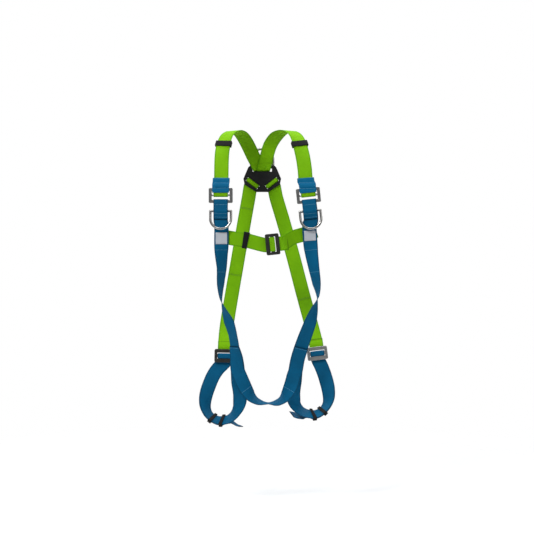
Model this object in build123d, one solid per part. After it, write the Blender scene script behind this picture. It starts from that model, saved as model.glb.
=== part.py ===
from build123d import *
import os
from math import asin, atan2, ceil, cos, degrees, hypot, pi, radians, sin, tan

# Full body fall arrest harness, in the shape it has on a wearer, in millimetres.
# +X is the wearer's left, +Y the wearer's back, +Z up.  The routes below are written
# from the top of the shoulders; save() moves everything so that the origin is the
# middle of the dorsal ring's eye, which the harness hangs from.

# ---- driving dimensions ------------------------------------------------------
WEB_WIDTH = 45.0  # webbing
WEB_THICK = 2.0
LAY_GAP = 0.5  # air between webbing and the metal or webbing it lies on
STEP = 22.0  # longest facet along a strap

PLATE_THICK = 4.0  # dorsal plate
PLATE_HALF_TOP = 40.0
PLATE_HALF_WIDEST = 62.0
PLATE_HALF_BOTTOM = 19.0
PLATE_HEIGHT = 87.0
PLATE_BRIDGE = 5.5  # between the two slots that one strap is woven through
PLATE_SLOT = 5.0
SHOULDER_SLOT = 10.0  # the slot both shoulder straps pass through
SLOT_ANGLE = 37.0  # of the woven slots, from level
CROSSING_ANGLE = {1: 26.0, -1: 15.0}  # of each shoulder strap above the plate, from upright

DORSAL_WIRE = 9.0  # forged dorsal ring
DORSAL_EYE = 62.0  # inside width
DORSAL_REACH = 88.0  # middle of its bar to the top of its arc

RING_WIRE = 7.6  # chest rings
RING_EYE = 57.0
RING_REACH = 60.0

ADJUSTER_WIDTH = 75.0  # adjuster frames on the shoulder straps
ADJUSTER_HEIGHT = 47.0
ADJUSTER_RAIL = 9.5
ADJUSTER_THICK = 4.0
SLIDE_BAR_RADIUS = 3.5

BUCKLE_WIDTH = 66.0  # chest and leg buckles
BUCKLE_HEIGHT = 43.0
BUCKLE_THICK = 3.0
BUCKLE_BAR = 11.0  # middle bar of the front plate
BUCKLE_SLOT = 4.2
BUCKLE_RAIL = 7.5  # rails of the rear frame
BUCKLE_SLACK = 3.0  # of the window's width over the webbing

KEEPER_WALL = 1.8
KEEPER_AIR = 1.7  # between a keeper and the webbing it slides on
SHOULDER_KEEPER = 21.0  # lengths along the strap
CHEST_KEEPER = 20.0
LEG_KEEPER = 13.0
SLEEVE_WIDTH = 53.0
SLEEVE_WALL = 1.6
LABEL_WIDTH = 36.0
LABEL_HEIGHT = 41.0
LABEL_THICK = 0.6

SEWN_FROM = 10  # the front run's station where the sit strap is sewn on

# ---- worked out --------------------------------------------------------------
BEND = WEB_THICK / 2 + LAY_GAP  # from an edge to the middle of the webbing round it
PITCH = WEB_THICK + LAY_GAP  # from one layer of webbing to the next
SEWN_PITCH = PITCH + 0.3  # of layers that are sewn together where the strap twists
WINDOW = WEB_WIDTH + BUCKLE_SLACK

# ---- where the hardware sits -------------------------------------------------
PLATE_X = -6.0
PLATE_Y = 103.0  # middle of its thickness
PLATE_TOP = -102.0
SHOULDER_SLOT_Z = -117.0
WEAVE_OUT = 31.5  # middle of a woven slot pair, out from the plate's middle
WEAVE_Z = -160.0
DORSAL_BAR_Z = -130.0

ADJUSTER = {
    "right": Location((-135.0, -97.0, -213.0), (0, 0, 0)),
    "left": Location((139.0, -97.0, -213.0), (0, -6, 0)),
}
LEG_BUCKLE = {
    "right": Location((-127.0, 32.0, -722.0), (0, 1, 0)),
    "left": Location((172.0, 32.0, -714.0), (0, -7, 0)),
}
CHEST_BUCKLE = Location((27.0, -117.0, -366.0), (0, 84, 0))
CHEST_RING_DROP = 48.5  # adjuster's middle to the chest ring's bar
CHEST_LEAD = 22.0  # straight webbing behind the chest buckle, before it bends to the keeper
CHEST_RING_LEAN = 7.0  # a hanging ring rests on the strap in front of it


# ---- webbing -----------------------------------------------------------------
# A station is (x, y, z, turn, lean): a point of the strap's centreline and the
# direction of its width, turned from +X about the vertical and leaning above level.


def width_direction(turn, lean):
    turn, lean = radians(turn), radians(lean)
    return Vector(cos(turn) * cos(lean), sin(turn) * cos(lean), sin(lean))


def curve(p0, p1, p2, p3, u):
    """A point between p1 and p2 on the centripetal Catmull-Rom curve."""
    t1 = (p1 - p0).length ** 0.5
    t2 = t1 + (p2 - p1).length ** 0.5
    t3 = t2 + (p3 - p2).length ** 0.5
    t = t1 + u * (t2 - t1)
    a1 = p0 * ((t1 - t) / t1) + p1 * (t / t1)
    a2 = p1 * ((t2 - t) / (t2 - t1)) + p2 * ((t - t1) / (t2 - t1))
    a3 = p2 * ((t3 - t) / (t3 - t2)) + p3 * ((t - t2) / (t3 - t2))
    b1 = a1 * ((t2 - t) / t2) + a2 * (t / t2)
    b2 = a2 * ((t3 - t) / (t3 - t1)) + a3 * ((t - t1) / (t3 - t1))
    return b1 * ((t2 - t) / (t2 - t1)) + b2 * ((t - t1) / (t2 - t1))


def filled(stations, step=STEP):
    """The stations with smooth ones between them, no further than a step apart."""
    points = [Vector(*station[:3]) for station in stations]
    points.insert(0, points[0] * 2 - points[1])
    points.append(points[-1] * 2 - points[-2])
    turns = [station[3] for station in stations]
    for i in range(1, len(turns)):
        turns[i] -= 360 * round((turns[i] - turns[i - 1]) / 360)
    result = []
    for i in range(len(stations) - 1):
        count = max(1, ceil((points[i + 2] - points[i + 1]).length / step))
        for k in range(count):
            u = k / count
            p = curve(*points[i : i + 4], u)
            turn = turns[i] + u * (turns[i + 1] - turns[i])
            lean = stations[i][4] + u * (stations[i + 1][4] - stations[i][4])
            result.append((p.X, p.Y, p.Z, turn, lean))
    result.append((*stations[-1][:3], turns[-1], stations[-1][4]))
    return result


def framed(stations):
    """The centre, tangent, width direction and normal at each station."""
    points = [Vector(*station[:3]) for station in stations]
    ahead = [(b - a).normalized() for a, b in zip(points, points[1:])]
    result = []
    for i, station in enumerate(stations):
        tangent = (ahead[max(i - 1, 0)] + ahead[min(i, len(ahead) - 1)]).normalized()
        across = width_direction(*station[3:])
        result.append((points[i], tangent, across, tangent.cross(across).normalized()))
    return result


def ribbon(stations, width=WEB_WIDTH, thick=WEB_THICK):
    """A strap of the full width through the stations, as a ruled solid."""
    sections = []
    for centre, tangent, across, normal in framed(filled(stations)):
        square_on = (across - tangent * across.dot(tangent)).length
        half = across * (width / 2 / square_on)
        rise = normal * (thick / 2)
        corners = [centre + half + rise, centre - half + rise]
        corners += [centre - half - rise, centre + half - rise]
        sections.append(Wire.make_polygon(corners, close=True))
    return Solid.make_loft(sections, ruled=True)


def alongside(stations, distance):
    """The same run, moved off along the strap's normal."""
    moved = []
    for station, (centre, _, _, normal) in zip(stations, framed(stations)):
        p = centre + normal * distance
        moved.append((p.X, p.Y, p.Z, *station[3:]))
    return moved


def belt(start, rounds, end, sweep=30):
    """Points of webbing pulled from start round each (y, z, radius, way) to end.

    The way is 1 for a turn from +Y towards +Z and -1 for the other way."""
    circles = [(*start, 0, 1), *rounds, (*end, 0, 1)]
    headings = []
    for (y1, z1, r1, way1), (y2, z2, r2, way2) in zip(circles, circles[1:]):
        apart = hypot(y2 - y1, z2 - z1)
        offset = asin((way2 * r2 - way1 * r1) / apart)
        headings.append(atan2(z2 - z1, y2 - y1) - offset)
    points = [start]
    for (y, z, r, way), into, out in zip(rounds, headings, headings[1:]):
        turned = (way * (out - into)) % (2 * pi)
        if turned > 1.9 * pi:
            turned = 0
        count = max(1, ceil(degrees(turned) / sweep))
        for k in range(count + 1):
            heading = into + way * turned * k / count
            points.append((y + way * r * sin(heading), z - way * r * cos(heading)))
    points.append(end)
    return points


def on(where, points, flip=1):
    """Stations at a hardware place from (y, z) points, with the width along its X."""
    middle = where.position
    across = ((where * Pos(flip, 0, 0)).position - middle).normalized()
    turn, lean = degrees(atan2(across.Y, across.X)), degrees(asin(across.Z))
    stations = []
    for y, z in points:
        p = (where * Pos(0, y, z)).position
        stations.append((p.X, p.Y, p.Z, turn, lean))
    return stations


# ---- hardware ----------------------------------------------------------------
# Each piece is made about its own middle: X along its bars, Y through its thickness
# with the wearer on the +Y side of the front pieces, and Z up.


def soft_edges(solid, radius):
    return fillet(solid.edges(), radius)


def slab(width, height, thick, corner):
    """A flat plate that stands in the XZ plane with round corners."""
    flat = Box(width, thick, height)
    return fillet(flat.edges().filter_by(Axis.Y), corner)


def d_ring(eye, wire, reach):
    """A D-ring with the middle of its bar at the origin and its arc upwards."""
    radius = (eye + wire) / 2
    arc_z = reach - wire / 2 - radius
    with BuildLine() as outline:
        Line((-radius, 0, 0), (radius, 0, 0))
        Line((radius, 0, 0), (radius, 0, arc_z))
        ThreePointArc((radius, 0, arc_z), (0, 0, arc_z + radius), (-radius, 0, arc_z))
        Line((-radius, 0, arc_z), (-radius, 0, 0))
    section = Plane(origin=(0, 0, arc_z + radius), z_dir=(1, 0, 0)) * Circle(wire / 2)
    return sweep(section, path=outline.wire(), transition=Transition.ROUND)


def dorsal_plate():
    levels = [0, 6, 0.50 * PLATE_HEIGHT, 0.72 * PLATE_HEIGHT, PLATE_HEIGHT]
    halves = [PLATE_HALF_TOP, PLATE_HALF_TOP + 6, PLATE_HALF_WIDEST, PLATE_HALF_WIDEST - 4]
    halves.append(PLATE_HALF_BOTTOM)
    right = [(half, PLATE_TOP - level) for half, level in zip(halves, levels)]
    left = [(-x, z) for x, z in reversed(right)]
    outline = Plane.XZ * make_face(Polyline(*right, *left, close=True))
    plate = extrude(outline, PLATE_THICK / 2, both=True)
    plate = fillet(plate.edges().filter_by(Axis.Y), 4)
    slot_length = WEB_WIDTH + 2
    shoulder_slot = WEB_WIDTH / cos(radians(CROSSING_ANGLE[1])) + 17
    shoulder = Box(shoulder_slot, 3 * PLATE_THICK, SHOULDER_SLOT)
    shoulder = fillet(shoulder.edges().filter_by(Axis.Y), 2)
    plate -= Pos(0, 0, SHOULDER_SLOT_Z) * shoulder
    for side in (1, -1):
        for step in (1, -1):
            slot = Box(slot_length, 3 * PLATE_THICK, PLATE_SLOT)
            slot = fillet(slot.edges().filter_by(Axis.Y), 2)
            offset = Pos(0, 0, step * (PLATE_BRIDGE + PLATE_SLOT) / 2)
            turned = Location((side * WEAVE_OUT, 0, WEAVE_Z), (0, -side * SLOT_ANGLE, 0))
            plate -= turned * offset * slot
    return Pos(PLATE_X, PLATE_Y, 0) * plate


def adjuster_frame():
    window_width = ADJUSTER_WIDTH - 2 * ADJUSTER_RAIL
    window_height = ADJUSTER_HEIGHT - 2 * ADJUSTER_RAIL
    frame = slab(ADJUSTER_WIDTH, ADJUSTER_HEIGHT, ADJUSTER_THICK, 4)
    frame -= slab(window_width, window_height, 2 * ADJUSTER_THICK, 2)
    return soft_edges(frame, 0.8)


def slide_bar():
    """A round bar with flat tongues that run behind the adjuster frame's sides."""
    inside = ADJUSTER_WIDTH - 2 * ADJUSTER_RAIL
    bar = Rot(0, 90, 0) * Cylinder(SLIDE_BAR_RADIUS, inside - 2)
    tongue_y = ADJUSTER_THICK / 2 + LAY_GAP + 1  # middle of the tongues
    tongue = Box(inside + ADJUSTER_RAIL, 2, 5)
    cheek = Box(4, tongue_y, 5)
    bar += Pos(0, tongue_y, 0) * (tongue - Box(WEB_WIDTH + 2, 4, 10))
    for side in (1, -1):
        bar += Pos(side * (inside / 2 - 2.2), tongue_y / 2, 0) * cheek
    return bar


def buckle_plate():
    """The front plate: two slots with the bar that the webbing is threaded round."""
    plate = slab(BUCKLE_WIDTH, BUCKLE_HEIGHT, BUCKLE_THICK, 5)
    for side in (1, -1):
        slot = slab(WINDOW, BUCKLE_SLOT, 2 * BUCKLE_THICK, 1.5)
        plate -= Pos(0, 0, side * (BUCKLE_BAR + BUCKLE_SLOT) / 2) * slot
    return soft_edges(plate, 0.7)


REAR_Y = BUCKLE_THICK / 2 + 2 * LAY_GAP + WEB_THICK + LAY_GAP  # front of the rear frame


def buckle_frame():
    """The rear frame, whose window the front plate is passed through to close."""
    frame = slab(BUCKLE_WIDTH - 2, BUCKLE_HEIGHT, BUCKLE_THICK, 5)
    frame -= slab(WINDOW, BUCKLE_HEIGHT - 2 * BUCKLE_RAIL, 2 * BUCKLE_THICK, 2)
    return Pos(0, REAR_Y + BUCKLE_THICK / 2, 0) * soft_edges(frame, 0.7)


def threaded(where, main_length, tail_length, flip=1):
    """Webbing up behind the buckle, round the plate's bar and back down as a tail."""
    face, rail = BUCKLE_THICK / 2, BUCKLE_HEIGHT / 2 - BUCKLE_RAIL
    back = REAR_Y + BUCKLE_THICK
    bar, slot_end = BUCKLE_BAR / 2, BUCKLE_BAR / 2 + BUCKLE_SLOT
    rounds = [
        (back, -rail, BEND, 1),
        (face, -slot_end, BEND, 1),
        (-face, -bar, BEND, -1),
        (-face, bar, BEND, -1),
        (face, bar, BEND, -1),
        (back, -rail, BEND + PITCH, -1),
    ]
    start, end = (back + BEND, -main_length), (back + BEND + PITCH, -tail_length)
    return on(where, belt(start, rounds, end), flip)


def looped(where, main_length, sewn_length):
    """Webbing down in front of the rear frame's top rail, round it and up again."""
    middle = REAR_Y + BUCKLE_THICK / 2
    round_it = BUCKLE_THICK / 2 + BEND
    rail = BUCKLE_HEIGHT / 2 - BUCKLE_RAIL + 1
    start, end = (middle - round_it, main_length), (middle + round_it - 0.5, sewn_length)
    return on(where, belt(start, [(middle, rail, round_it, 1)], end))


# ---- straps over the shoulders and down the back -----------------------------


def shoulder_front(side):
    """Main layer from just above the adjuster to the dorsal plate."""
    if side == "right":
        return [
            (-133.5, -98, -170, 0, 0),
            (-133, -93, -135, 0, 0),
            (-132.5, -86, -100, 0, 0),
            (-131, -79, -74, -4, 3),
            (-127, -67, -48, -10, 5),
            (-117, -44, -19, -19, 3),
            (-101, -16, -3, -27, 0),
            (-84, 16, -1, -27, 5),
            (-67, 50, -15, -18, 17),
            (-51, 74, -41, -6, 25),
            (-36, 88, -72, 0, 26),
        ]
    return [
        (131, -98, -170, 0, 4),
        (128, -93, -135, 0, 5),
        (123.5, -86, -100, 0, 7),
        (118.5, -79, -74, 5, 4),
        (112.5, -67, -48, 10, 1),
        (100.5, -44, -19, 20, 0),
        (83, -16, -3, 27, 0),
        (60, 16, -1, 27, -6),
        (37, 50, -15, 18, -20),
        (19, 74, -41, 6, -21),
        (9.5, 84, -72, 0, -15),
    ]


def through_plate(way, layer):
    """Down through the shoulder slot, over the ring's bar and out by the woven slots.

    The way is 1 for the strap that crosses to +X.  Layer 0 lies against the plate
    above the slot and outermost on the ring's bar; layer 1 lies on it."""
    near, far = PLATE_Y - PLATE_THICK / 2, PLATE_Y + PLATE_THICK / 2
    slot_top = SHOULDER_SLOT_Z + SHOULDER_SLOT / 2
    bar_y = dorsal_bar_y()
    on_bar = DORSAL_WIRE / 2 + BEND + (1 - layer) * PITCH
    rounds = [(near, slot_top, BEND + layer * PITCH, 1), (bar_y, DORSAL_BAR_Z, on_bar, -1)]
    start = (near - BEND - layer * PITCH, PLATE_TOP + 2)
    off_bar = (bar_y + on_bar - (4.0 if layer else -2.5), DORSAL_BAR_Z - 12)
    upper = belt(start, rounds, off_bar)
    stations = []
    for y, z in upper:
        slope = tan(radians(CROSSING_ANGLE[way])) if z > DORSAL_BAR_Z else 0.85
        x = PLATE_X - way * (z - DORSAL_BAR_Z) * slope
        stations.append((x, y, z, 0, 0))
    half = PLATE_BRIDGE / 2
    rounds = [
        (far, half + PLATE_SLOT, BEND, -1),
        (near, half, BEND, 1),
        (near, -half, BEND, 1),
        (far, -half - PLATE_SLOT, BEND, -1),
    ]
    start = (off_bar[0], (off_bar[1] - WEAVE_Z) / cos(radians(SLOT_ANGLE)))
    lower = belt(start, rounds, (far + BEND, -half - PLATE_SLOT - 3))
    for y, up in lower[1:]:
        x = PLATE_X + way * (WEAVE_OUT - up * sin(radians(SLOT_ANGLE)))
        stations.append((x, y, WEAVE_Z + up * cos(radians(SLOT_ANGLE)), 0, way * SLOT_ANGLE))
    return stations


def dorsal_bar_y():
    return PLATE_Y + PLATE_THICK / 2 + LAY_GAP + DORSAL_WIRE / 2


def back_run(side):
    """Down the back from the plate to the leg buckle of this side."""
    if side == "left":
        return [
            (39, 107, -203, 0, 13),
            (62, 106, -281, 0, 16),
            (95, 98, -399, 0, 15),
            (127, 83, -523, 0, 14),
            (154, 62, -624, 0, 13),
            (164, 46, -664, 0, 10),
        ]
    return [
        (-50, 107, -203, 0, -10),
        (-64, 106, -281, 0, -10),
        (-84, 98, -399, 0, -10),
        (-105, 83, -523, 0, -9),
        (-121, 62, -624, 0, -6),
        (-125, 46, -666, 0, -3),
    ]


def lime_bar_z():
    """The slide bar's height in its adjuster."""
    return 1.0


def shoulder_strap(side):
    """Tail, slide bar, shoulder, dorsal plate, back and the other side's leg buckle."""
    other = "left" if side == "right" else "right"
    main = shoulder_front(side)
    held = main[:5]
    above = (*held[4][:1], held[4][1] + 8, held[4][2] + 8, *held[4][3:])
    tail = alongside(held + [above], PITCH)[:5]
    leg = SLIDE_BAR_RADIUS + BEND
    round_bar = [(0, lime_bar_z(), leg, -1)]
    loop = on(ADJUSTER[side], belt((leg, 24), round_bar, (-leg, 24)))
    way, layer = (1, 0) if side == "right" else (-1, 1)
    end = looped(LEG_BUCKLE[other], 30, 46)
    stations = tail[::-1] + loop + main + through_plate(way, layer) + back_run(other) + end
    return stations


# ---- blue straps: down the front and round the legs --------------------------


def front_run(side):
    """From the label down to the crotch, turning over on the way."""
    if side == "right":
        return [
            (-133, -93.5, -305, 0, 0),
            (-133, -93.5, -345, 0, 0),
            (-133, -93.5, -370, 5, 0),
            (-133, -92, -400, 30, 0),
            (-132, -89, -437, 48, 0),
            (-135.5, -86, -490, 62, 0),
            (-134, -83, -537, 84, 0),
            (-124, -80, -572, 112, 0),
            (-110, -76, -608, 134, -14),
            (-98, -70, -650, 126, -10),
            (-92, -63, -686, 128, -8),
            (-86, -56, -722, 150, -10),
            (-83, -50, -760, 172, -6),
        ]
    return [
        (142.5, -93.5, -305, 0, 0),
        (144, -93.5, -340, 0, 4),
        (145.5, -93.5, -364, -5, 5),
        (149, -92, -395, -26, 7),
        (155.5, -89, -435, -42, 8),
        (165, -86, -490, -58, 6),
        (168.5, -84, -527, -82, 0),
        (159, -81, -565, -118, 8),
        (146, -77, -608, -148, 17),
        (131, -70, -650, -160, 19),
        (117, -63, -690, -166, 18),
        (106, -56, -728, -172, 14),
        (100, -51, -762, -178, 8),
    ]


def leg_run(side):
    """On from the crotch, round the thigh and up to the leg buckle."""
    if side == "right":
        return [
            (-81, -47, -800, 178, -4),
            (-76, -41, -835, 175, -4),
            (-77, -34, -862, 161, -2),
            (-86, -24, -890, 132, 8),
            (-101, -14, -912, 114, 22),
            (-120, -5, -924, 100, 27),
            (-134, 0, -926.5, 95, 28),
            (-148, 4, -926, 92, 28),
            (-165, 8, -919, 82, 26),
            (-180, 10, -903, 64, 18),
            (-188, 12, -878, 42, 4),
            (-186, 17, -848, 22, -8),
            (-176, 24, -815, 8, -15),
            (-163, 31, -785, 0, -24),
            (-147, 37, -762, 0, -26),
        ]
    return [
        (97, -47, -798, -178, 2),
        (93, -41, -832, -175, 2),
        (95, -34, -856, -161, 2),
        (106, -24, -880, -132, -8),
        (124, -14, -897, -112, -21),
        (143, -5, -905, -100, -26),
        (157, 0, -907, -95, -27),
        (171, 4, -905, -90, -27),
        (187, 8, -896, -80, -24),
        (200, 10, -879, -62, -16),
        (207, 12, -856, -40, -4),
        (206, 17, -828, -22, 5),
        (200, 24, -800, -8, 9),
        (192, 31, -774, 0, 14),
        (183, 37, -752, 0, 14),
    ]


LEG_TAIL = {
    "right": [(-104, -3, -932, 108, 16), (-88, -9, -940, 104, 6), (-73, -14, -945, 100, 2)],
    "left": [(124, -4, -911, -106, -20), (106, -12, -910, -104, -12), (88, -20, -905, -104, -7)],
}
TAIL_LEAVES = 5  # the leg run's station where the tail parts from it


def front_loop(side):
    """The sewn end over the chest ring's bar, round the adjuster and down again."""
    rail = ADJUSTER_HEIGHT / 2 - ADJUSTER_RAIL
    face = ADJUSTER_THICK / 2
    ring_y = face - RING_WIRE / 2
    rounds = [
        (ring_y, -CHEST_RING_DROP, RING_WIRE / 2 + BEND, -1),
        (-face, -rail, BEND, -1),
        (face, -rail, BEND, -1),
    ]
    start = (face + BEND - PITCH, -CHEST_RING_DROP - 26)
    return on(ADJUSTER[side], belt(start, rounds, (face + BEND, -CHEST_RING_DROP - 30)))


def chest_ring_place(side):
    face = ADJUSTER_THICK / 2
    return ADJUSTER[side] * Pos(0, face - RING_WIRE / 2, -CHEST_RING_DROP)


def front_strap(side):
    leg = leg_run(side)
    tail = alongside(leg, PITCH)[TAIL_LEAVES:]
    top = threaded(LEG_BUCKLE[side], 20, 20)
    return front_loop(side) + front_run(side) + leg + top + tail[::-1] + LEG_TAIL[side]


def sit_strap():
    """Between the legs, sewn on the front of both blue straps."""
    right = alongside(front_run("right"), -SEWN_PITCH)[SEWN_FROM:]
    left = alongside(front_run("left"), -SEWN_PITCH)[SEWN_FROM:]
    middle = [
        (-74, -56, -784, 177, -22),
        (-63, -54, -809, 192, -30),
        (-49, -49, -833, 218, -26),
        (-30, -34, -853, 246, -15),
        (-9, -17, -865, 261, -6),
        (13, -10, -871, 270, 0),
        (35, -17, -866, 279, -6),
        (55, -35, -855, 294, -15),
        (73, -50, -835, 322, -26),
        (86, -54, -808, 348, -30),
        (94, -56, -780, 363, -22),
    ]
    left = [(x, y, z, turn + 540, -lean) for x, y, z, turn, lean in left]
    return right + middle + left[::-1]


# ---- chest strap -------------------------------------------------------------


def right_chest_run():
    return [
        (-152, -85, -338, 0, -90),
        (-114, -86.5, -344, 0, -83),
        (-84, -94, -349, 0, -82),
        (-57, -100.5, -353, 0, -82),
    ]


def right_chest_strap():
    main = right_chest_run()
    loop = threaded(CHEST_BUCKLE, CHEST_LEAD, CHEST_LEAD)
    tail = alongside(main + loop[:2], PITCH)[2:4]
    return main + loop + tail[::-1]


def left_chest_strap():
    main = [
        (164, -84, -322, 0, -92),
        (126, -86.5, -334, 0, -97),
        (92, -97, -344, 0, -98),
    ]
    return main + looped(CHEST_BUCKLE, 34, 48)


# ---- what sits on the straps -------------------------------------------------


def between(stations, top, bottom, step=6):
    """The smooth run of the stations from one height down to another."""
    return [s for s in filled(stations, step) if bottom <= s[2] <= top]


def label(side):
    """A blank care label, sewn on the front of the blue strap."""
    top = {"right": -324, "left": -318}[side]
    run = between(front_run(side), top, top - LABEL_HEIGHT)
    off = WEB_THICK / 2 + LAY_GAP + LABEL_THICK / 2
    return ribbon(alongside(run, off), LABEL_WIDTH, LABEL_THICK)


def sleeve(side):
    """Blue webbing sewn round both layers above the adjuster, open at the bottom
    behind, so that its front hangs over the adjuster frame's top rail."""
    leg = SLIDE_BAR_RADIUS + BEND
    wall = SLEEVE_WALL / 2
    off = WEB_THICK / 2 + LAY_GAP + wall
    main = shoulder_front(side)
    near = on(ADJUSTER[side], [(-leg, 8), (-leg, 27), (-leg * 0.8, 34)])
    rear = on(ADJUSTER[side], [(leg, 8), (leg, 27), (leg * 0.7, 34)])
    top = filled(main[:2], 12)[:2]
    front = alongside(near + top, -off)
    back = alongside(rear + alongside(main, PITCH)[:1] + alongside(top, PITCH)[1:], off)
    flap = ribbon(front, SLEEVE_WIDTH, SLEEVE_WALL)
    outer, inner = [], []
    spread, hollow = SLEEVE_WIDTH / 2, SLEEVE_WIDTH / 2 - SLEEVE_WALL
    for (c1, t1, a1, n1), (c2, _, _, n2) in list(zip(framed(front), framed(back)))[1:]:
        near_out, near_in = c1 - n1 * wall, c1 + n1 * wall
        back_out, back_in = c2 + n2 * wall, c2 - n2 * wall
        outer.append([near_out + a1 * spread, near_out - a1 * spread])
        outer[-1] += [back_out - a1 * spread, back_out + a1 * spread]
        inner.append([near_in + a1 * hollow, near_in - a1 * hollow])
        inner[-1] += [back_in - a1 * hollow, back_in + a1 * hollow]
    inner.insert(0, [p * 2 - q for p, q in zip(inner[0], inner[1])])
    inner.append([p * 2 - q for p, q in zip(inner[-1], inner[-2])])
    tube = loft_through(outer) - loft_through(inner)
    return flap + tube


def loft_through(rings):
    wires = [Wire.make_polygon(ring, close=True) for ring in rings]
    return Solid.make_loft(wires, ruled=True)


def keeper(run, place, length):
    """A flat loop round both layers of a strap, bent as the strap is at that station."""
    middle = Vector(*run[place][:3])
    held = [s for s in filled(run, 2.0) if (Vector(*s[:3]) - middle).length <= length / 2]
    near, far = -WEB_THICK / 2 - KEEPER_AIR, PITCH + WEB_THICK / 2 + KEEPER_AIR
    inside, wall = WEB_WIDTH / 2 + KEEPER_AIR, KEEPER_WALL
    outer, inner = [], []
    for centre, tangent, across, normal in framed(held):
        across = (across - tangent * across.dot(tangent)).normalized()
        inner.append(ring(centre, across, normal, inside, near, far))
        outer.append(ring(centre, across, normal, inside + wall, near - wall, far + wall))
    inner.insert(0, [p * 2 - q for p, q in zip(inner[0], inner[1])])
    inner.append([p * 2 - q for p, q in zip(inner[-1], inner[-2])])
    return loft_through(outer) - loft_through(inner)


def ring(centre, across, normal, half, near, far):
    corners = [(half, near), (-half, near), (-half, far), (half, far)]
    return [centre + across * x + normal * y for x, y in corners]


# ---- everything, by name -----------------------------------------------------


def eye():
    """The middle of the dorsal ring's eye."""
    arc = DORSAL_REACH - DORSAL_WIRE - DORSAL_EYE / 2
    return Vector(PLATE_X, dorsal_bar_y(), DORSAL_BAR_Z + arc)


def build():
    parts = {"dorsal_plate": dorsal_plate()}
    bar = Pos(PLATE_X, dorsal_bar_y(), DORSAL_BAR_Z)
    parts["dorsal_ring"] = bar * d_ring(DORSAL_EYE, DORSAL_WIRE, DORSAL_REACH)
    for side in ("right", "left"):
        where = ADJUSTER[side]
        parts[f"{side}_shoulder_strap"] = ribbon(shoulder_strap(side))
        parts[f"{side}_front_strap"] = ribbon(front_strap(side))
        parts[f"{side}_adjuster_frame"] = where * adjuster_frame()
        parts[f"{side}_adjuster_bar"] = where * Pos(0, 0, lime_bar_z()) * slide_bar()
        ring = Rot(180 - CHEST_RING_LEAN, 0, 0) * d_ring(RING_EYE, RING_WIRE, RING_REACH)
        parts[f"{side}_chest_ring"] = chest_ring_place(side) * ring
        parts[f"{side}_leg_buckle_plate"] = LEG_BUCKLE[side] * buckle_plate()
        parts[f"{side}_leg_buckle_frame"] = LEG_BUCKLE[side] * buckle_frame()
        parts[f"{side}_adjuster_sleeve"] = sleeve(side)
        parts[f"{side}_label"] = label(side)
        parts[f"{side}_shoulder_keeper"] = keeper(shoulder_front(side), 4, SHOULDER_KEEPER)
        parts[f"{side}_lower_leg_keeper"] = keeper(leg_run(side), 6, LEG_KEEPER)
        parts[f"{side}_upper_leg_keeper"] = keeper(leg_run(side), 8, LEG_KEEPER)
    chest = right_chest_run() + threaded(CHEST_BUCKLE, CHEST_LEAD, CHEST_LEAD)[:1]
    parts["chest_keeper"] = keeper(chest, 3, CHEST_KEEPER)
    parts["sit_strap"] = ribbon(sit_strap())
    parts["right_chest_strap"] = ribbon(right_chest_strap())
    parts["left_chest_strap"] = ribbon(left_chest_strap())
    parts["chest_buckle_plate"] = CHEST_BUCKLE * buckle_plate()
    parts["chest_buckle_frame"] = CHEST_BUCKLE * buckle_frame()
    return parts


def save(name, solid):
    solid = Pos(*(-eye())) * solid
    solid.label = name
    export_step(solid, f"parts/{name}.step")


os.makedirs("parts", exist_ok=True)
for part_name, part_solid in build().items():
    save(part_name, part_solid)
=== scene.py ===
import math

import bmesh
import bpy
import numpy as np
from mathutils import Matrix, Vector, bvhtree, kdtree, noise


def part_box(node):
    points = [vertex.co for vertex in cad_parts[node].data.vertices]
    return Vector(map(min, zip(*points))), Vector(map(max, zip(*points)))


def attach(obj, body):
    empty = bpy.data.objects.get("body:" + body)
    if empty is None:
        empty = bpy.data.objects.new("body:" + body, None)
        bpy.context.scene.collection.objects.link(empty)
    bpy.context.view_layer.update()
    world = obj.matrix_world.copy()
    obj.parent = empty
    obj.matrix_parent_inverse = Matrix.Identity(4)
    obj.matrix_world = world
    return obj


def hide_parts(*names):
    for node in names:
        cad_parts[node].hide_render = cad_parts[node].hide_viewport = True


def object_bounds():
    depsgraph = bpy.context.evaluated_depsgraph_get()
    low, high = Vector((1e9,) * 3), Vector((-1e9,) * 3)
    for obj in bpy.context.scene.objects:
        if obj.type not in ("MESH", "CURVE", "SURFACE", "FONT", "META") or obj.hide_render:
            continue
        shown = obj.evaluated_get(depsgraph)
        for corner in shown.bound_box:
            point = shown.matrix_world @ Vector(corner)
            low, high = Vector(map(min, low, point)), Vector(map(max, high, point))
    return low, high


# A full body fall arrest harness in its worn shape, in metres.  +X is the wearer's left,
# +Y the wearer's back and +Z up; the origin is the middle of the dorsal ring's eye.

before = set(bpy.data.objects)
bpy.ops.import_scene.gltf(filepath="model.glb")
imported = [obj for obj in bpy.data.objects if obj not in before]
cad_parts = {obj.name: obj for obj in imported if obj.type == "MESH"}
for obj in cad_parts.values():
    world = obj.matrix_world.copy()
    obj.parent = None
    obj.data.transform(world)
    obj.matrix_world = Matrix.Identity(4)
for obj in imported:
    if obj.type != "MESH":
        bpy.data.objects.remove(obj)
cad_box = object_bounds()
SIDES = ("right", "left")

# ---- driving dimensions ------------------------------------------------------
WEB_WIDTH = 0.045
WEB_THICK = 0.002
LABEL_WIDTH = 0.036
LABEL_THICK = 0.0006
STRAP_STEP = 0.003  # longest cell along a strap
STRAP_CELLS = 14  # cells across a strap's face
EDGE_STEPS = 4  # cells round its woven edge
RIPPLE = 0.00022  # how far the webbing wanders off its straight surface
RIPPLE_RATE = 22  # how fast that changes along a strap
EDGE_RATE = 55  # and along its edges
CROWN = 0.10  # share of its thickness that a strap loses at its edges
WIDE_SHARE = 0.97  # a line across a strap is longer than this share of its width
SAME_POINT = 0.00001

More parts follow.
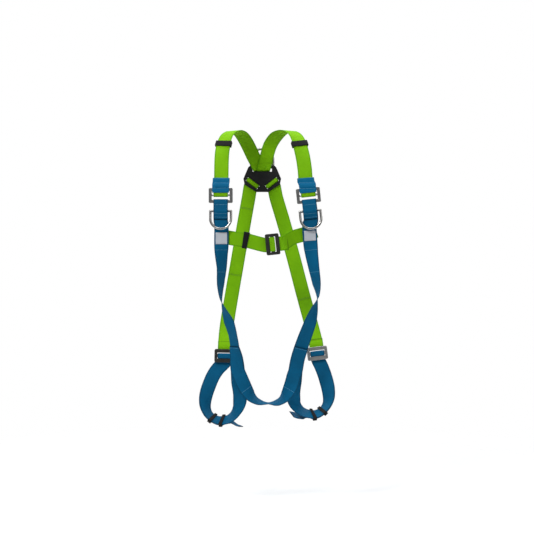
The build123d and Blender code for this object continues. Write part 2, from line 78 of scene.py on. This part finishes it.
STITCH = 0.0034  # one stitch
STITCH_GAP = 0.0011
THREAD = 0.00055  # radius of the sewing thread
THREAD_SIDES = 8
STITCH_FROM = 0.12  # share of a stitch's cell before the stitch, and
STITCH_TO = 0.88  # the share where it ends
STITCH_BOW = ((0, 0.35, -0.6), (0.2, 0.9, 0.3), (0.5, 1.0, 0.7), (0.8, 0.9, 0.3), (1, 0.35, -0.6))
ROW_SPREAD = 0.9  # share of a strap's width that a cross row covers
BOX_SPREAD = 0.82  # and that a sewn box covers
LOOP_ROWS = (-0.160, -0.1875, -0.1985, -0.301, -0.370)  # heights of the rows on the blue straps
BACK_ROWS = {"right": (-0.161, -0.379), "left": (-0.457, -0.605)}  # and on the lime back straps
CHEST_SEWN = (0.006, 0.021)  # sewn length from a chest strap's end
SIT_SEWN = 0.005  # first row from a sit strap's end
SIT_ROW = -0.741  # height of its lower rows
FRONT = (0, -1, 0)

RIB = 0.0013  # one lengthwise rib of the weave
PICK = 0.0015  # one crosswise thread
CHEVRON = 0.0075  # a herringbone column
SELVEDGE = 0.0195  # middle of the strap to its plain woven edge
WEAVE_DEPTH = 0.00016
CLOTH_GLOSS = 0.1
MELTED = 0.0022  # length of the heat-cut ends

SOFT_VOXEL = 0.0007  # remesh size of the sleeves and keepers
RIDGE = 0.0011  # how far a sleeve swells between its stitch rows
SLEEVE_ROWS = (0.30, 0.66, 0.97)  # heights of those rows, as shares of the sleeve's
SAME_CORNER = 0.000002  # corners of a CAD solid nearer than this are one

CAMERA_AWAY = 4.11
CAMERA_ASIDE = 0.0156
CAMERA_HEIGHT = -0.3794
LENS = 81.8
FLOOR_DROP = 0.25  # below the lowest strap
FLOOR_RADIUS = 2.2


# ---- camera and studio -------------------------------------------------------
def add_camera():
    camera = bpy.data.objects.new("camera", bpy.data.cameras.new("camera"))
    camera.location = (CAMERA_ASIDE, -CAMERA_AWAY, CAMERA_HEIGHT)
    camera.rotation_euler = (math.radians(90), 0, 0)
    camera.data.lens = LENS
    camera.data.sensor_width = 36
    bpy.context.scene.collection.objects.link(camera)
    bpy.context.scene.camera = camera


def add_light(name, place, target, size, power):
    data = bpy.data.lights.new(name, "AREA")
    data.shape = "RECTANGLE"
    data.size, data.size_y = size
    data.energy = power
    light = bpy.data.objects.new(name, data)
    light.location = place
    light.rotation_euler = (Vector(target) - Vector(place)).to_track_quat("-Z", "Y").to_euler()
    bpy.context.scene.collection.objects.link(light)


def add_studio():
    scene = bpy.context.scene
    scene.view_settings.view_transform = "Standard"
    middle = (0, -0.05, -0.4)
    add_light("key", (-1.5, -2.2, 1.7), middle, (0.8, 1.0), 50)
    add_light("fill", (2.2, -2.0, 0.2), middle, (1.0, 1.6), 7)
    add_light("top", (0.2, -0.2, 2.2), middle, (1.2, 1.2), 26)
    add_light("rear_left", (-1.8, 2.2, 0.6), middle, (0.9, 1.8), 14)
    add_light("rear_right", (1.8, 2.2, 0.9), middle, (0.9, 1.8), 14)
    world = bpy.data.worlds.new("studio")
    scene.world = world
    world.use_nodes = True
    tree = world.node_tree
    tree.nodes.clear()
    place = node(tree, "TexCoord")
    parts = node(tree, "SeparateXYZ", {0: place.outputs["Generated"]})
    low = node(tree, "MapRange", {"Value": parts.outputs[2], "From Min": 0.0, "From Max": -0.6})
    high = node(tree, "MapRange", {"Value": parts.outputs[2], "From Min": 0.05, "From Max": 0.5})
    ground = maths(tree, "MULTIPLY_ADD", low.outputs[0], 0.25, 0.06)
    sky = maths(tree, "MULTIPLY_ADD", high.outputs[0], 0.7, ground)
    lit = node(tree, "Background", {"Color": (0.95, 0.97, 1, 1), "Strength": sky})
    seen = node(tree, "Background", {"Color": (1, 1, 1, 1), "Strength": 1.0})
    ray = node(tree, "LightPath")
    mix = node(tree, "MixShader", {0: ray.outputs["Is Camera Ray"], 1: lit.outputs[0], 2: seen.outputs[0]})
    node(tree, "OutputWorld", {"Surface": mix.outputs[0]})


def add_floor():
    """A pale round floor that fades out into the white of the studio."""
    low = cad_box[0].z - FLOOR_DROP
    bm = bmesh.new()
    bmesh.ops.create_circle(bm, cap_ends=True, segments=96, radius=FLOOR_RADIUS)
    bmesh.ops.translate(bm, verts=bm.verts, vec=(0, 0, low))
    floor = link_mesh("floor", bm)
    material, tree, surface = new_material("floor")
    paint = node(tree, "BsdfDiffuse", {"Color": (0.93, 0.93, 0.93, 1), "Roughness": 0.5})
    clear = node(tree, "BsdfTransparent")
    place = node(tree, "TexCoord")
    across = node(tree, "VectorMath", {0: place.outputs["Object"], 1: (1, 1, 0)}, operation="MULTIPLY")
    out = node(tree, "VectorMath", {0: across.outputs[0]}, operation="LENGTH")
    fade = node(tree, "MapRange", {"Value": out.outputs["Value"], "From Min": 0.3, "From Max": FLOOR_RADIUS})
    fade.interpolation_type = "SMOOTHERSTEP"
    mix = node(tree, "MixShader", {0: fade.outputs[0], 1: paint.outputs[0], 2: clear.outputs[0]})
    tree.links.new(mix.outputs[0], surface.inputs["Surface"])
    floor.data.materials.append(material)


# ---- shader helpers ----------------------------------------------------------
def node(tree, kind, inputs=None, **settings):
    """A shader node with its sockets set to values or joined to other nodes' outputs."""
    made = tree.nodes.new("ShaderNode" + kind)
    for key, value in settings.items():
        setattr(made, key, value)
    for key, value in (inputs or {}).items():
        if isinstance(value, bpy.types.NodeSocket):
            tree.links.new(value, made.inputs[key])
        else:
            made.inputs[key].default_value = value
    return made


def maths(tree, operation, *values):
    return node(tree, "Math", dict(enumerate(values)), operation=operation).outputs[0]


def new_material(name):
    material = bpy.data.materials.new(name)
    material.use_nodes = True
    tree = material.node_tree
    tree.nodes.clear()
    return material, tree, node(tree, "OutputMaterial")


def shaded(name, colour, bump, bump_depth, roughness, **sockets):
    """A Principled material from a colour function, a bump function and fixed sockets."""
    material, tree, surface = new_material(name)
    shader = node(tree, "BsdfPrincipled")
    tree.links.new(colour(tree), shader.inputs["Base Color"])
    rough = roughness(tree) if callable(roughness) else roughness
    if isinstance(rough, bpy.types.NodeSocket):
        tree.links.new(rough, shader.inputs["Roughness"])
    else:
        shader.inputs["Roughness"].default_value = rough
    raised = node(tree, "Bump", {"Height": bump(tree), "Distance": bump_depth, "Strength": 1.0})
    tree.links.new(raised.outputs[0], shader.inputs["Normal"])
    for socket, value in sockets.items():
        shader.inputs[socket.replace("_", " ")].default_value = value
    tree.links.new(shader.outputs[0], surface.inputs["Surface"])
    return material


def blended(tree, low, high, factor):
    mix = node(tree, "Mix", {"Factor": factor}, data_type="RGBA")
    for name, value in (("A_Color", low), ("B_Color", high)):
        socket = next(s for s in mix.inputs if s.identifier == name)
        if isinstance(value, bpy.types.NodeSocket):
            tree.links.new(value, socket)
        else:
            socket.default_value = (*value, 1)
    return next(s for s in mix.outputs if s.identifier == "Result_Color")


def cloud(tree, scale, detail=3.0, stretch=(1, 1, 1)):
    """Soft noise over the object's own place, from 0 to 1."""
    place = node(tree, "TexCoord").outputs["Object"]
    spread = node(tree, "VectorMath", {0: place, 1: stretch}, operation="MULTIPLY").outputs[0]
    return node(tree, "TexNoise", {"Vector": spread, "Scale": scale, "Detail": detail}).outputs[0]


def srgb(red, green, blue):
    """A screen colour from 0 to 255 as linear light."""
    shares = (red / 255, green / 255, blue / 255)
    return tuple(((c + 0.055) / 1.055) ** 2.4 if c > 0.04045 else c / 12.92 for c in shares)


# ---- materials ---------------------------------------------------------------
def cloth_place(tree):
    """Metres along the strap, across it and from its nearest cut end."""
    place = node(tree, "Attribute", attribute_name="cloth")
    parts = node(tree, "SeparateXYZ", {0: place.outputs["Vector"]})
    return parts.outputs[0], parts.outputs[1], parts.outputs[2]


def weave(tree):
    """Height of a herringbone weave of lengthwise ribs, from about -1 to 1."""
    along, across, _ = cloth_place(tree)
    turn = 2 * math.pi
    rib = maths(tree, "SINE", maths(tree, "MULTIPLY", across, turn / RIB))
    column = maths(tree, "PINGPONG", across, CHEVRON / 2)
    picks = maths(tree, "MULTIPLY", along, turn / PICK)
    slant = maths(tree, "MULTIPLY_ADD", column, turn / PICK * 0.9, picks)
    twill = maths(tree, "SINE", slant)
    return maths(tree, "MULTIPLY_ADD", rib, 0.45, maths(tree, "MULTIPLY", twill, 0.55))


def selvedge(tree, start, end):
    _, across, _ = cloth_place(tree)
    out = maths(tree, "ABSOLUTE", across)
    edge = node(tree, "MapRange", {"Value": out, "From Min": start, "From Max": end})
    return edge.outputs[0]


def webbing_material(name, base, deep, worn, melted, edge=SELVEDGE):
    def colour(tree):
        woven = maths(tree, "MULTIPLY_ADD", weave(tree), 0.22, 0.48)
        uneven = maths(tree, "MULTIPLY_ADD", cloud(tree, 9, 4), 1.6, -0.6)
        cloth = blended(tree, deep, base, maths(tree, "ADD", woven, maths(tree, "MULTIPLY", uneven, 0.5)))
        fuzz = maths(tree, "MULTIPLY", selvedge(tree, edge, edge + 0.003), cloud(tree, 180, 2))
        cloth = blended(tree, cloth, worn, maths(tree, "MULTIPLY", fuzz, 0.5))
        # Darker along both edges: partly the denser woven edge, partly painted shade where the strap turns
        # away from the light.
        cloth = blended(tree, cloth, deep, maths(tree, "MULTIPLY", selvedge(tree, edge - 0.0012, edge), 0.6))
        _, _, to_end = cloth_place(tree)
        cut = node(tree, "MapRange", {"Value": to_end, "From Min": MELTED, "From Max": MELTED / 2})
        return blended(tree, cloth, melted, cut.outputs[0])

    def rough(tree):
        return maths(tree, "MULTIPLY_ADD", cloud(tree, 30), 0.22, 0.5)

    return shaded(name, colour, weave, WEAVE_DEPTH, rough, Specular_IOR_Level=CLOTH_GLOSS)


def steel_material(name, bright, dull, low_rough, high_rough):
    def colour(tree):
        return blended(tree, dull, bright, cloud(tree, 60, 5))

    def rough(tree):
        brushed = cloud(tree, 420, 2, (1, 1, 9))
        return maths(tree, "MULTIPLY_ADD", brushed, high_rough - low_rough, low_rough)

    def bump(tree):
        scratches = cloud(tree, 900, 2, (1, 1, 14))
        return maths(tree, "ADD", scratches, maths(tree, "MULTIPLY", cloud(tree, 90, 2), 2.0))

    return shaded(name, colour, bump, 0.00003, rough, Metallic=1.0)


def plastic_material():
    def colour(tree):
        scuffs = maths(tree, "POWER", cloud(tree, 70, 6), 4.0)
        return blended(tree, srgb(9, 9, 10), srgb(40, 40, 42), scuffs)

    def rough(tree):
        return maths(tree, "MULTIPLY_ADD", cloud(tree, 45, 4), 0.24, 0.27)

    return shaded("moulded_plastic", colour, lambda tree: cloud(tree, 1500, 3), 0.00005, rough)


def elastic_material():
    """Black elastic tape: ribs that run round the loop, with a slight fuzz."""
    def ribs(tree):
        fine = cloud(tree, 2200, 1)
        broad = cloud(tree, 700, 2)
        return maths(tree, "MULTIPLY_ADD", fine, 0.6, maths(tree, "MULTIPLY", broad, 0.6))

    def colour(tree):
        return blended(tree, srgb(5, 5, 6), srgb(26, 26, 28), maths(tree, "POWER", ribs(tree), 2.0))

    return shaded("elastic", colour, ribs, 0.0003, 0.7, Specular_IOR_Level=0.2)


def label_material():
    def colour(tree):
        fibre = cloud(tree, 1800, 2)
        soil = cloud(tree, 50, 4)
        white = blended(tree, srgb(176, 182, 190), srgb(206, 210, 216), fibre)
        return blended(tree, white, srgb(150, 156, 166), maths(tree, "MULTIPLY", soil, 0.35))

    return shaded("label_cloth", colour, weave, 0.00006, 0.6, Sheen_Weight=0.1)


def thread_material(name, light, dark):
    def colour(tree):
        return blended(tree, dark, light, cloud(tree, 900, 2))

    return shaded(name, colour, lambda tree: cloud(tree, 3000, 1), 0.0001, 0.5, Sheen_Weight=0.25)


def sleeve_material():
    """The blue webbing again, woven across the wearer's shoulder strap."""
    def strands(tree):
        place = node(tree, "TexCoord").outputs["Object"]
        parts = node(tree, "SeparateXYZ", {0: place})
        rib = maths(tree, "SINE", maths(tree, "MULTIPLY", parts.outputs[2], 2 * math.pi / RIB))
        pick = maths(tree, "SINE", maths(tree, "MULTIPLY", parts.outputs[0], 2 * math.pi / PICK))
        return maths(tree, "MULTIPLY_ADD", rib, 0.6, maths(tree, "MULTIPLY", pick, 0.4))

    def colour(tree):
        woven = maths(tree, "MULTIPLY_ADD", strands(tree), 0.2, 0.62)
        uneven = maths(tree, "MULTIPLY", cloud(tree, 24, 4), 0.35)
        return blended(tree, BLUE["deep"], BLUE["base"], maths(tree, "ADD", woven, uneven))

    return shaded("sleeve_webbing", colour, strands, WEAVE_DEPTH, 0.55, Specular_IOR_Level=CLOTH_GLOSS)


LIME = {
    "base": srgb(142, 206, 4),
    "deep": srgb(84, 152, 0),
    "worn": srgb(112, 172, 10),
    "melted": srgb(70, 104, 10),
}
BLUE = {
    "base": srgb(0, 108, 154),
    "deep": srgb(0, 60, 88),
    "worn": srgb(4, 98, 134),
    "melted": srgb(4, 34, 54),
}


# ---- meshes ------------------------------------------------------------------
def link_mesh(name, bm):
    mesh = bpy.data.meshes.new(name)
    bm.to_mesh(mesh)
    bm.free()
    made = bpy.data.objects.new(name, mesh)
    bpy.context.scene.collection.objects.link(made)
    return made


def faces_of(mesh):
    """The faces of a CAD solid, each as its list of outline edges."""
    bm = bmesh.new()
    bm.from_mesh(mesh)
    met = set()
    found = []
    for first in bm.faces:
        if first in met:
            continue
        met.add(first)
        stack = [first]
        outline = []
        while stack:
            for edge in stack.pop().edges:
                if len(edge.link_faces) == 1:
                    outline.append([v.co.copy() for v in edge.verts])
                for face in edge.link_faces:
                    if face not in met:
                        met.add(face)
                        stack.append(face)
        found.append(outline)
    bm.free()
    return found


def crosswise_lines(mesh, width):
    """The lines across a strap's solid, from edge to edge, in order round its whole length."""
    pairs = []
    for outline in faces_of(mesh):
        first = outline[0]
        gaps = [min((p - q).length for p in first for q in line) for line in outline[1:]]
        facing = outline[1 + gaps.index(max(gaps))]
        others = [line for line in outline if line is not first and line is not facing]
        for pair in ([first, facing], others):
            if sum((a - b).length for a, b in pair) > 2 * WIDE_SHARE * width:
                pairs.append(pair)
    lines = [line for pair in pairs for line in pair]
    tree = kdtree.KDTree(len(lines))
    for i, line in enumerate(lines):
        tree.insert((line[0] + line[1]) / 2, i)
    tree.balance()
    same = [min(hit[1] for hit in tree.find_range((a + b) / 2, SAME_POINT)) for a, b in lines]
    joined = {}
    for k in range(len(pairs)):
        a, b = same[2 * k], same[2 * k + 1]
        joined.setdefault(a, []).append(b)
        joined.setdefault(b, []).append(a)
    order = [same[0]]
    while len(order) < len(joined):
        order.append(next(k for k in joined[order[-1]] if k not in order[-2:]))
    walked = [lines[order[0]]]
    for k in order[1:]:
        a, b = lines[k]
        p, q = walked[-1]
        straight = (a - p).length + (b - q).length < (b - p).length + (a - q).length
        walked.append((a, b) if straight else (b, a))
    return np.array(walked, float)


def strap_run(node_name, width, first):
    """A strap's centreline, width directions and normals, from the end that first picks."""
    lines = crosswise_lines(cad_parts[node_name].data, width)
    count = len(lines) // 2
    best = None
    for start in range(len(lines)):
        top = [(start + i) % len(lines) for i in range(count)]
        under = [(start - 1 - i) % len(lines) for i in range(count)]
        apart = np.abs(lines[top] - lines[under]).sum()
        if best is None or apart < best[0]:
            best = (apart, top, under)
    _, top, under = best
    both = (lines[top] + lines[under]) / 2
    if (both[0, 0] - both[-1, 0]) @ np.array(first) < 0:
        both = both[::-1]
    return smooth_run(both.mean(1), (both[:, 0] - both[:, 1]) / 2)


def smooth_run(centre, across):
    """The run with round curves in place of its facets, in cells of about a step."""
    knots = [0.0]
    for a, b in zip(centre, centre[1:]):
        knots.append(knots[-1] + np.linalg.norm(b - a) ** 0.5)
    knots = np.array([-knots[1], *knots, 2 * knots[-1] - knots[-2]])
    points = np.array([2 * centre[0] - centre[1], *centre, 2 * centre[-1] - centre[-2]])
    fine, wide = [], []
    for i in range(1, len(points) - 2):
        length = np.linalg.norm(points[i + 1] - points[i])
        count = max(2, math.ceil(length / STRAP_STEP))
        for k in range(count):
            u = k / count
            fine.append(catmull(points[i - 1 : i + 3], knots[i - 1 : i + 3], u))
            wide.append(across[i - 1] * (1 - u) + across[i] * u)
    fine.append(centre[-1])
    wide.append(across[-1])
    fine, wide = np.array(fine), np.array(wide)
    ahead = np.gradient(fine, axis=0)
    ahead /= np.linalg.norm(ahead, axis=1)[:, None]
    flat = wide - ahead * (wide * ahead).sum(1)[:, None]
    half = float(np.median(np.linalg.norm(flat, axis=1)))
    flat /= np.linalg.norm(flat, axis=1)[:, None]
    steps = np.linalg.norm(np.diff(fine, axis=0), axis=1)
    along = np.concatenate([[0], np.cumsum(steps)])
    return {"centre": fine, "across": flat, "normal": np.cross(ahead, flat), "along": along, "half": half}


def catmull(p, t, u):
    """A point between p[1] and p[2] on the Catmull-Rom curve with those knots."""
    x = t[1] + u * (t[2] - t[1])
    a = [((t[i + 1] - x) * p[i] + (x - t[i]) * p[i + 1]) / (t[i + 1] - t[i]) for i in range(3)]
    b = [((t[i + 2] - x) * a[i] + (x - t[i]) * a[i + 1]) / (t[i + 2] - t[i]) for i in range(2)]
    return ((t[2] - x) * b[0] + (x - t[1]) * b[1]) / (t[2] - t[1])


def profile(half, thick):
    """A strap's outline: flat faces, round edges, and a slight crown."""
    r = thick / 2
    flat = half - r
    xs = np.linspace(-flat, flat, STRAP_CELLS + 1)
    top = [(x, r * (1 - CROWN * (x / half) ** 2)) for x in xs]
    turn = [math.pi * k / EDGE_STEPS for k in range(1, EDGE_STEPS)]
    edge = [(flat + r * math.sin(a), (1 - CROWN) * r * math.cos(a)) for a in turn]
    return top + edge + [(-x, -z) for x, z in top] + [(-x, -z) for x, z in edge]


def webbing(name, run, thick, material):
    """A woven strap along a run, with the metres along and across it kept for its weave."""
    outline = profile(run["half"], thick)
    bm = bmesh.new()
    cloth = bm.verts.layers.float_vector.new("cloth")
    length = run["along"][-1]
    rings = []
    for centre, across, normal, along in zip(run["centre"], run["across"], run["normal"], run["along"]):
        lift = RIPPLE * noise.noise(Vector((along * RIPPLE_RATE, run["half"] * 90, 1.7)))
        ring = []
        for x, z in outline:
            edge_place = Vector((along * EDGE_RATE, math.copysign(4.0, x), 0))
            wave = RIPPLE * (x / run["half"]) * noise.noise(edge_place)
            vert = bm.verts.new(centre + across * x + normal * (z + lift + wave))
            vert[cloth] = (along, x, min(along, length - along))
            ring.append(vert)
        rings.append(ring)
    for near, far in zip(rings, rings[1:]):
        for i in range(len(outline)):
            j = (i + 1) % len(outline)
            bm.faces.new((near[i], near[j], far[j], far[i])).smooth = True
    bm.faces.new(reversed(rings[0]))
    bm.faces.new(rings[-1])
    bmesh.ops.recalc_face_normals(bm, faces=bm.faces)
    made = link_mesh(name, bm)
    made.data.materials.append(material)
    return made


def at(run, along, x, rise):
    """The point of a run that far along it, across it and off its surface."""
    found = []
    for key in ("centre", "across", "normal"):
        found.append(np.array([np.interp(along, run["along"], run[key][:, i]) for i in range(3)]))
    centre, across, normal = found
    return centre + across * x + normal * rise


def passes(run, value, axis=2):
    """How far along the run it passes a place on an axis, each time it does."""
    level = run["centre"][:, axis] - value
    passed = np.nonzero(level[:-1] * level[1:] < 0)[0]
    share = level[passed] / (level[passed] - level[passed + 1])
    return run["along"][passed] + share * (run["along"][passed + 1] - run["along"][passed])


# ---- stitching ---------------------------------------------------------------
def stitch(bm, start, end, out):
    """One bowed stitch of thread from start to end, sunk into the cloth at both ends."""
    ahead = (end - start).normalized()
    out = (out - ahead * out.dot(ahead)).normalized()
    aside = ahead.cross(out)
    rings = []
    for share, size, lift in STITCH_BOW:
        middle = start.lerp(end, share) + out * (lift * THREAD)
        ring = []
        for k in range(THREAD_SIDES):
            a = 2 * math.pi * k / THREAD_SIDES
            ring.append(bm.verts.new(middle + (aside * math.cos(a) + out * math.sin(a)) * (size * THREAD)))
        rings.append(ring)
    for near, far in zip(rings, rings[1:]):
        for i in range(THREAD_SIDES):
            j = (i + 1) % THREAD_SIDES
            bm.faces.new((near[i], near[j], far[j], far[i])).smooth = True
    bm.faces.new(reversed(rings[0]))
    bm.faces.new(rings[-1])


def sew(name, rows, material):
    """Rows of stitches; each row is (run, rise, along, across, along, across)."""
    bm = bmesh.new()
    for run, rise, s0, x0, s1, x1 in rows:
        length = math.hypot(s1 - s0, x1 - x0)
        count = max(1, round(length / (STITCH + STITCH_GAP)))
        for k in range(count):
            u0 = (k + STITCH_FROM) / count
            u1 = (k + STITCH_TO) / count
            ends = [at(run, s0 + (s1 - s0) * u, x0 + (x1 - x0) * u, rise) for u in (u0, u1)]
            off = at(run, s0 + (s1 - s0) * u0, x0 + (x1 - x0) * u0, 2 * rise)
            stitch(bm, Vector(ends[0]), Vector(ends[1]), Vector(off - ends[0]))
    bmesh.ops.recalc_face_normals(bm, faces=bm.faces)
    made = link_mesh(name, bm)
    made.data.materials.append(material)
    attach(made, "harness")
    return made


def sew_on(name, cloth, lines, material):
    """Rows of stitches on the front of a piece, each from one (x, z) to another."""
    tree = bvhtree.BVHTree.FromPolygons(
        [v.co for v in cloth.data.vertices], [p.vertices for p in cloth.data.polygons]
    )
    bm = bmesh.new()
    for start, end in lines:
        start, end = Vector(start), Vector(end)
        count = max(1, round((end - start).length / (STITCH + STITCH_GAP)))
        for k in range(count):
            points = []
            for share in ((k + STITCH_FROM) / count, (k + STITCH_TO) / count):
                x, z = start.lerp(end, share)
                points.append(tree.ray_cast(Vector((x, -1, z)), Vector((0, 1, 0)))[0])
            if None not in points and abs(points[0].y - points[1].y) < STITCH:
                stitch(bm, *points, Vector((0, -1, 0)))
    bmesh.ops.recalc_face_normals(bm, faces=bm.faces)
    made = link_mesh(name, bm)
    made.data.materials.append(material)
    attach(made, "harness")


def cross_row(run, along, rise):
    """A row of stitches right across a strap."""
    x = run["half"] * ROW_SPREAD
    return (run, rise, along, -x, along, x)


def box_rows(run, start, end, rise):
    """A box of stitches."""
    x = run["half"] * BOX_SPREAD
    rows = [(run, rise, start, -x, start, x), (run, rise, end, -x, end, x)]
    return rows + [(run, rise, start, -x, end, -x), (run, rise, start, x, end, x)]


def outermost(runs, value, way, axis=2):
    """The run, and how far along it, whose pass of a place lies furthest in a way."""
    found = [(run, along) for run in runs for along in passes(run, value, axis)]
    return max(found, key=lambda hit: at(*hit, 0, 0) @ np.array(way))


def facing(run, along, way):
    """How far thread lies off the middle of a strap, on the side that faces a way."""
    normal = at(run, along, 0, 1) - at(run, along, 0, 0)
    return math.copysign(WEB_THICK / 2, normal @ np.array(way))


def make_stitching(runs, light, green):
    """Sewn rows on the loops, the back straps and the ends of the chest and sit straps."""
    fronts, backs = [], []
    for side in SIDES:
        run = runs[f"{side}_front_strap"]
        for z in LOOP_ROWS:
            _, along = outermost([run], z, FRONT)
            fronts.append(cross_row(run, along, facing(run, along, FRONT)))
        sign = -1 if side == "right" else 1
        shoulders = [runs[f"{s}_shoulder_strap"] for s in SIDES]
        for z in BACK_ROWS[side]:
            run, along = outermost(shoulders, z, (sign, 1, 0))
            for step in (-STITCH / 2, STITCH / 2):
                backs.append(cross_row(run, along + step, facing(run, along, FRONT)))
        run = runs[f"{side}_chest_strap"]
        rise = facing(run, CHEST_SEWN[0], FRONT)
        backs += box_rows(run, *CHEST_SEWN, rise)
    sit = runs["sit_strap"]
    length = sit["along"][-1]
    for along in (SIT_SEWN, length - SIT_SEWN, *passes(sit, SIT_ROW)):
        fronts.append(cross_row(sit, along, facing(sit, along, FRONT)))
    sew("front_stitches", fronts, light)
    sew("back_stitches", backs, green)


# ---- straps ------------------------------------------------------------------
def make_straps():
    """Every strap over its own CAD solid, with the runs kept for what is sewn on them."""
    lime = webbing_material("lime_webbing", **LIME)
    blue = webbing_material("blue_webbing", **BLUE)
    kinds = []
    for side in SIDES:
        kinds.append((f"{side}_shoulder_strap", (0, 0, 1), lime, "lime_webbing"))
        kinds.append((f"{side}_front_strap", (0, 0, 1), blue, "blue_webbing"))
        kinds.append((f"{side}_chest_strap", (-1 if side == "right" else 1, 0, 0), lime, "lime_webbing"))
    kinds.append(("sit_strap", (-1, 0, 0), blue, "blue_webbing"))
    runs = {}
    for name, first, material, slot in kinds:
        runs[name] = strap_run(name, WEB_WIDTH, first)
        made = webbing(name + "_webbing", runs[name], WEB_THICK, material)
        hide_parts(name)
        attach(made, "harness")
    cloth = label_material()
    for side in SIDES:
        name = f"{side}_label"
        runs[name] = strap_run(name, LABEL_WIDTH, (0, 0, 1))
        made = webbing(name + "_cloth", runs[name], LABEL_THICK, cloth)
        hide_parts(name)
        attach(made, "harness")
    return runs


# ---- sleeves and keepers -----------------------------------------------------
def soft_copy(name, source, voxel, smoothing):
    """A CAD solid's mesh made even and soft, to be shaped further."""
    made = bpy.data.objects.new(name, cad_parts[source].data.copy())
    bpy.context.scene.collection.objects.link(made)
    made.data.materials.clear()
    bm = bmesh.new()
    bm.from_mesh(made.data)
    bmesh.ops.remove_doubles(bm, verts=bm.verts, dist=SAME_CORNER)
    bm.to_mesh(made.data)
    bm.free()
    remesh = made.modifiers.new("even", "REMESH")
    remesh.mode = "VOXEL"
    remesh.voxel_size = voxel
    smooth = made.modifiers.new("soft", "SMOOTH")
    smooth.iterations = smoothing
    smooth.factor = 0.5
    shown = made.evaluated_get(bpy.context.evaluated_depsgraph_get())
    made.data = bpy.data.meshes.new_from_object(shown)
    made.modifiers.clear()
    for polygon in made.data.polygons:
        polygon.use_smooth = True
    return made


def make_sleeves(thread):
    """Blue webbing sewn round the strap above each adjuster, swollen between its rows."""
    material = sleeve_material()
    for side in SIDES:
        source = f"{side}_adjuster_sleeve"
        made = soft_copy(source + "_webbing", source, SOFT_VOXEL, 4)
        low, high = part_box(source)
        centre = (low + high) / 2
        tall = high.z - low.z
        rows = [low.z + tall * share for share in SLEEVE_ROWS]
        for vert in made.data.vertices:
            share = (vert.co.z - rows[0]) / (rows[1] - rows[0])
            swell = RIDGE * abs(math.sin(math.pi * share))
            away = Vector((0, vert.co.y - centre.y, 0))
            if away.length > 1e-4:
                vert.co += away.normalized() * (swell - RIDGE / 2)
        made.data.materials.append(material)
        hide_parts(source)
        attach(made, "harness")
        lines = [((low.x, z), (high.x, z)) for z in rows]
        sew_on(f"{side}_sleeve_stitches", made, lines, thread)


def make_keepers():
    material = elastic_material()
    names = ["chest_keeper"]
    for side in SIDES:
        names += [f"{side}_{place}_keeper" for place in ("shoulder", "lower_leg", "upper_leg")]
    for name in names:
        made = soft_copy(name + "_elastic", name, SOFT_VOXEL * 0.8, 3)
        made.data.materials.append(material)
        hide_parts(name)
        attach(made, name)


# ---- hardware ----------------------------------------------------------------
def soften(name, width, material):
    """A CAD node kept as it is, with its sharp edges eased where a width is given, and its own material."""
    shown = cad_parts[name]
    weld = shown.modifiers.new("weld", "WELD")
    weld.merge_threshold = SAME_CORNER
    if width:
        bevel = shown.modifiers.new("eased", "BEVEL")
        bevel.width = width
        bevel.segments = 3
        bevel.limit_method = "ANGLE"
        bevel.angle_limit = math.radians(40)
    shown.data.materials.clear()
    shown.data.materials.append(material)


def make_hardware():
    bright = steel_material("bright_steel", srgb(206, 204, 200), srgb(150, 148, 146), 0.14, 0.28)
    satin = steel_material("satin_steel", srgb(196, 196, 194), srgb(150, 150, 148), 0.22, 0.42)
    # The buckles' steel painted pale: a painted highlight for the bright reflections on the left leg buckle.
    pale = steel_material("steel_painted_highlight", srgb(232, 232, 230), srgb(196, 196, 194), 0.24, 0.4)
    # The same steel painted dark: painted shade and dark reflections on the right leg buckle and the chest
    # buckle.
    dark = steel_material("dark_steel", srgb(104, 104, 100), srgb(70, 70, 68), 0.26, 0.46)
    soften("dorsal_plate", 0.0009, plastic_material())
    soften("dorsal_ring", 0, bright)
    for side in SIDES:
        soften(f"{side}_chest_ring", 0, bright)
        soften(f"{side}_adjuster_frame", 0, satin)
        soften(f"{side}_adjuster_bar", 0.0004, satin)
    # The three buckles are one steel; their different tones here are painted light.
    for place, painted_light_steel in (("right_leg", dark), ("left_leg", pale), ("chest", dark)):
        soften(f"{place}_buckle_plate", 0, painted_light_steel)
        soften(f"{place}_buckle_frame", 0, painted_light_steel)


add_camera()
add_studio()
add_floor()
strap_runs = make_straps()
blue_thread = thread_material("blue_thread", srgb(96, 170, 206), srgb(54, 126, 168))
green_thread = thread_material("green_thread", srgb(96, 148, 24), srgb(52, 92, 10))
make_sleeves(blue_thread)
make_stitching(strap_runs, blue_thread, green_thread)
make_keepers()
make_hardware()
